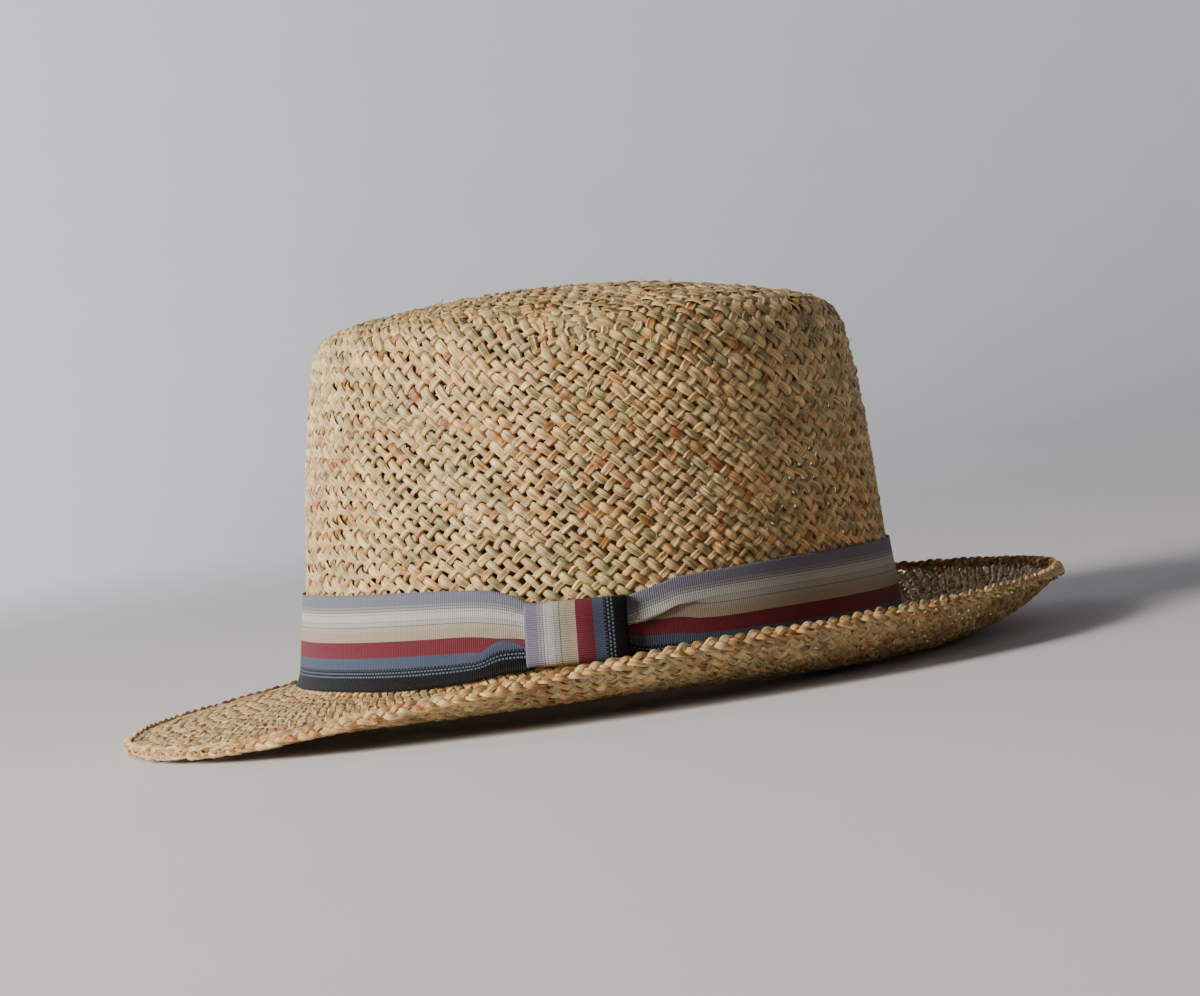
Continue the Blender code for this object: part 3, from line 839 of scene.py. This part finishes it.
def ribbon_material(name):
    """Grosgrain ribbon of rayon and cotton: a close ribbed weave with stripes along it and a soft sheen on the ribs,
    from the shader and also painted as lighter and darker flecks, with painted shade in the grooves between the ribs.
    """
    material, tree, shader = new_material(name)
    place = add(tree, "ShaderNodeUVMap", uv_map="cloth").outputs["UV"]
    apart = add(tree, "ShaderNodeSeparateXYZ", {"Vector": place})
    along, across = apart.outputs["X"], apart.outputs["Y"]
    black, dark, slate, red = linear("07080b"), linear("0f1218"), linear("434d61"), linear("662631")
    beige, warm, sage, pale = linear("9a8e7e"), linear("9e978b"), linear("a0a099"), linear("adaeab")
    line, mauve = linear("636262"), linear("6f707f")
    stripes = add(
        tree,
        "ShaderNodeValToRGB",
        {"Fac": across},
        [
            (0.0, black),
            (0.125, dark),
            (0.205, slate),
            (0.325, red),
            (0.493, beige),
            (0.600, warm),
            (0.648, line),
            (0.655, sage),
            (0.700, line),
            (0.706, pale),
            (0.778, line),
            (0.784, pale),
            (0.808, line),
            (0.815, linear("8f8f94")),
            (0.838, line),
            (0.845, linear("82828f")),
            (0.868, line),
            (0.874, mauve),
        ],
    )
    stripes.color_ramp.interpolation = "CONSTANT"
    # Two rows of pale stitches between the black and the slate stripes, 0.8 mm long and 1.3 mm from one to the next,
    # and a third row of black ones on the slate
    beat = add(tree, "ShaderNodeMath", {0: along, 1: 1 / (1.3 * MM)}, operation="MULTIPLY").outputs["Value"]
    row = add(tree, "ShaderNodeMath", {0: across, 1: 0.162}, operation="GREATER_THAN").outputs["Value"]
    half = add(tree, "ShaderNodeMath", {0: row, 1: 0.5, 2: beat}, operation="MULTIPLY_ADD").outputs["Value"]
    part = add(tree, "ShaderNodeMath", {0: half}, operation="FRACT").outputs["Value"]
    dash = add(tree, "ShaderNodeMath", {0: part, 1: 0.6}, operation="LESS_THAN").outputs["Value"]
    low = add(tree, "ShaderNodeMath", {0: across, 1: 0.145, 2: 0.0075}, operation="COMPARE").outputs["Value"]
    high = add(tree, "ShaderNodeMath", {0: across, 1: 0.182, 2: 0.0075}, operation="COMPARE").outputs["Value"]
    lane = add(tree, "ShaderNodeMath", {0: low, 1: high}, operation="ADD").outputs["Value"]
    stitch = add(tree, "ShaderNodeMath", {0: lane, 1: dash}, operation="MULTIPLY").outputs["Value"]
    stitched = add(
        tree, "ShaderNodeMix", {0: stitch, 6: stripes.outputs["Color"], 7: linear("5f6e82")}, data_type="RGBA"
    ).outputs[2]
    top = add(tree, "ShaderNodeMath", {0: across, 1: 0.218, 2: 0.009}, operation="COMPARE").outputs["Value"]
    tooth = add(tree, "ShaderNodeMath", {0: top, 1: dash}, operation="MULTIPLY").outputs["Value"]
    toothed = add(tree, "ShaderNodeMix", {0: tooth, 6: stitched, 7: dark}, data_type="RGBA").outputs[2]
    # Ribs cross the ribbon 0.5 mm apart, drawn 0.75 mm apart so that they show, and its yarns are 0.45 mm apart
    rib_at = add(
        tree, "ShaderNodeMath", {0: along, 1: 2 * math.pi / (0.75 * MM)}, operation="MULTIPLY"
    ).outputs["Value"]
    rib = add(tree, "ShaderNodeMath", {0: rib_at}, operation="SINE").outputs["Value"]
    yarn_at = add(
        tree, "ShaderNodeMath", {0: across, 1: 2 * math.pi * RIBBON_WIDTH / (0.45 * MM)}, operation="MULTIPLY"
    ).outputs["Value"]
    yarn = add(tree, "ShaderNodeMath", {0: yarn_at}, operation="SINE").outputs["Value"]
    speck_at = add(tree, "ShaderNodeCombineXYZ", {"X": rib_at, "Y": yarn_at}).outputs["Vector"]
    speck = add(
        tree, "ShaderNodeTexNoise", {"Vector": speck_at, "Scale": 0.35, "Detail": 2.0, "Roughness": 0.7}
    ).outputs["Fac"]
    # The colour is darkened in the grooves and lightened on the crests of the ribs as painted shade and highlight, and
    # flecked lighter and darker as painted sheen
    rib_painted_shade = add(
        tree, "ShaderNodeMapRange", {"Value": rib, "From Min": -1.0, "To Min": 0.72, "To Max": 1.1}
    ).outputs["Result"]
    painted_sheen_flecks = add(
        tree, "ShaderNodeMapRange", {"Value": speck, "From Min": 0.3, "From Max": 0.7, "To Min": 0.86, "To Max": 1.14}
    ).outputs["Result"]
    shade = add(tree, "ShaderNodeMath", {0: rib_painted_shade, 1: painted_sheen_flecks}, operation="MULTIPLY").outputs["Value"]
    shaded = add(tree, "ShaderNodeVectorMath", {0: toothed, "Scale": shade}, operation="SCALE")
    tree.links.new(shaded.outputs["Vector"], shader.inputs["Base Color"])
    yarns = add(tree, "ShaderNodeMath", {0: yarn, 1: 0.35, 2: rib}, operation="MULTIPLY_ADD").outputs["Value"]
    relief = add(tree, "ShaderNodeMath", {0: speck, 1: 1.2, 2: yarns}, operation="MULTIPLY_ADD").outputs["Value"]
    bump = add(tree, "ShaderNodeBump", {"Height": relief, "Strength": 0.55, "Distance": 0.00012})
    tree.links.new(bump.outputs["Normal"], shader.inputs["Normal"])
    shader.inputs["Roughness"].default_value = 0.62
    shader.inputs["Specular IOR Level"].default_value = 0.15
    shader.inputs["Sheen Weight"].default_value = 0.03
    shader.inputs["Sheen Roughness"].default_value = 0.4
    return material


def floor_and_light():
    """A pale round floor that curves up into a wall a long way off, one soft light like a window to the left of the
    camera, a lamp on the wall, and a dim room.

    A point of the wall's bend lies flat + bend sin a out and bend (1 - cos a) up.
    """
    flat, bend, top = 2.6, 1.2, 4.5
    turn = np.linspace(0, math.pi / 2, 13)
    radius = np.concatenate([[0.5, 1.2], flat + bend * np.sin(turn), [flat + bend]])
    height = np.concatenate([[0, 0], bend * (1 - np.cos(turn)), [top]]) + FLOOR_LEVEL
    steps, rows = 96, len(radius)
    round_it = np.arange(steps) / steps * 2 * math.pi
    wide = radius[:, None]
    rings = np.stack([wide * np.cos(round_it), wide * np.sin(round_it), height[:, None] + 0 * round_it], axis=-1)
    here = (np.arange(rows - 1)[:, None] * steps + np.arange(steps)).ravel()
    beside = (np.arange(rows - 1)[:, None] * steps + (np.arange(steps) + 1) % steps).ravel()
    quads = np.stack([here, here + steps, beside + steps, beside], axis=-1)
    middle = rows * steps
    fan = np.stack([np.arange(steps), (np.arange(steps) + 1) % steps, np.full(steps, middle)], axis=-1)
    floor = bpy.data.meshes.new("floor")
    floor.from_pydata([*rings.reshape(-1, 3).tolist(), (0, 0, FLOOR_LEVEL)], [], [*quads.tolist(), *fan.tolist()])
    floor.shade_smooth()
    material, tree, shader = new_material("matt painted board")
    # A faint mottle, as a roller leaves it
    place = add(tree, "ShaderNodeTexCoord").outputs["Object"]
    mottle = add(tree, "ShaderNodeTexNoise", {"Vector": place, "Scale": 9.0, "Detail": 4.0}).outputs["Fac"]
    tint = add(
        tree, "ShaderNodeMix", {0: mottle, 6: linear("c9c8c9"), 7: linear("cdccce")}, data_type="RGBA"
    ).outputs[2]
    tree.links.new(tint, shader.inputs["Base Color"])
    shader.inputs["Roughness"].default_value = 0.9
    floor.materials.append(material)
    stage = bpy.data.objects.new("floor", floor)
    bpy.context.scene.collection.objects.link(stage)

    def area(name, spot, aim, size, power, colour):
        light = bpy.data.lights.new(name, "AREA")
        light.shape = "RECTANGLE"
        light.size, light.size_y = size
        light.energy = power
        light.color = linear(colour)[:3]
        lamp = bpy.data.objects.new(name, light)
        towards = (Vector(aim) - Vector(spot)).to_track_quat("-Z", "Y")
        lamp.matrix_world = Matrix.Translation(spot) @ towards.to_matrix().to_4x4()
        bpy.context.scene.collection.objects.link(lamp)

    area("window", (0.80, -1.50, 0.80), (0, 0, 0.06), (0.6, 0.8), 74.0, "fff8ee")
    area("backdrop wash", (-1.8, -2.2, 1.0), (-2.8, -1.4, 0.5), (0.8, 0.8), 98.0, "f4f6ff")
    world = bpy.data.worlds.new("dim room")
    world.use_nodes = True
    world.node_tree.nodes["Background"].inputs["Color"].default_value = linear("d2d9e8")
    world.node_tree.nodes["Background"].inputs["Strength"].default_value = 0.06
    bpy.context.scene.world = world


def photo_camera():
    """The camera at the photograph's distance, height and tilt: an 88 mm lens 1.05 m from the hat."""
    data = bpy.data.cameras.new("camera")
    data.sensor_fit = "HORIZONTAL"
    data.sensor_width = 36.0
    data.lens = 88.4
    data.clip_end = 50
    eye, aim = Vector((1.0495, 0.0, 0.0939)), Vector((0.0, 0.0100, 0.0643))
    roll = math.radians(8.225)
    back = (eye - aim).normalized()
    right = Vector((0, 0, 1)).cross(back).normalized()
    up = back.cross(right)
    across = right * math.cos(roll) - up * math.sin(roll)
    upright = up * math.cos(roll) + right * math.sin(roll)
    camera = bpy.data.objects.new("camera", data)
    turned = Matrix((across, upright, back)).transposed().to_4x4()
    camera.matrix_world = Matrix.Translation(eye) @ turned
    bpy.context.scene.collection.objects.link(camera)
    bpy.context.scene.camera = camera


def build():
    """The whole scene: the room, the materials and the pieces, and which solid each piece stands in for."""
    floor_and_light()
    photo_camera()
    straw = straw_material("dried seagrass, woven", 1.0)
    # The brim and the plait take the same straw darkened to 0.89, as painted shade over all of them
    close = straw_material("dried seagrass, plaited and close woven, in painted shade", 0.89)
    cloth = ribbon_material("grosgrain ribbon, striped")
    spots, families = crown_net()
    ways = np.hypot(spots[:, 0], spots[:, 1])
    spots = pull_even(spots, families, ways < TOP_WAY + SETTLED_ROWS * SIDE_STEP, CROSSING_STEP, SETTLING_TURNS)
    spots = drawn_close(spots, 0.18)
    rooms = room_beside(spots, families)
    spots = unsettled(spots, 0.00028, 0.0006, 5)
    for angle, height, push in OPENINGS:
        spots = parted(spots, spot_at(math.radians(angle), ROOT_WAY - height), push, OPENING_RADIUS)
    pieces = []
    for name, strands, room in zip(("crown_strands_across", "crown_strands_along"), families, rooms):
        pieces.append(strand_piece(name, spots, strands, room, (0.79, 0.66), (-0.3, 0.0, 0.3), SPLIT_STRAW, straw))
    spots, families = brim_net()
    rooms = room_beside(spots, families)
    spots = unsettled(spots, 0.00022, 0.0005, 5)
    for name, strands, room in zip(("brim_strands_ahead", "brim_strands_back"), families, rooms):
        pieces.append(strand_piece(name, spots, strands, room, (0.89, 0.89), (-0.25, 0.25), FLAT_STRAW, close))
    pieces.append(stray_piece(straw))
    for piece in pieces:
        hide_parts("woven_hood")
    plait = plait_piece(close)
    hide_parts("plaited_edge")
    band = ribbon_piece(cloth)
    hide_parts("ribbon_band")
    knot = knot_piece(cloth)
    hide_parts("ribbon_knot")
    for piece in [*pieces, plait, band, knot]:
        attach(piece, "root")


build()
